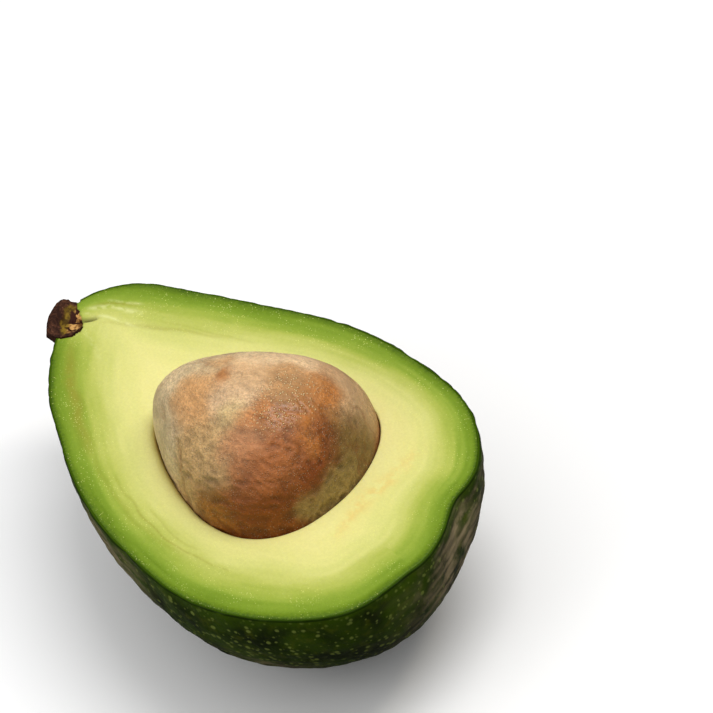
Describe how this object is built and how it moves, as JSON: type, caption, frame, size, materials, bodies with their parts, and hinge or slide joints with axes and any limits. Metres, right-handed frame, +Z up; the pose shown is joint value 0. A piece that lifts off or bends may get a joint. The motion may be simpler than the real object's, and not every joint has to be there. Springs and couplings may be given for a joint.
{
  "type": "halved avocado with its stone",
  "caption": "Half an avocado cut lengthwise, resting on its back, with dark leathery skin, pale flesh, a brown stone in its hollow and a short stem stub.",
  "frame": {"origin": "on the surface the half rests on, under the middle of its outline seen from above", "axes": "+X along the fruit from the stem end to the blossom end, +Y to its left-hand side, +Z up, square to the level cut face"},
  "size_m": [0.1072, 0.0678, 0.055],
  "materials": {
    "skin": "dark green, pebbled and glossy, with small raised pale dots",
    "flesh": "soft and moist, pale yellow round the stone to green under the skin",
    "stone": "mottled brown seed coat, satin and slightly moist",
    "stem": "dry dark bark, with olive-brown wood where it is cut"
  },
  "bodies": {
    "root": {"skin": "skin", "flesh": "flesh", "stone": "stone", "stem_stub": "stem"}
  },
  "joints": []
}
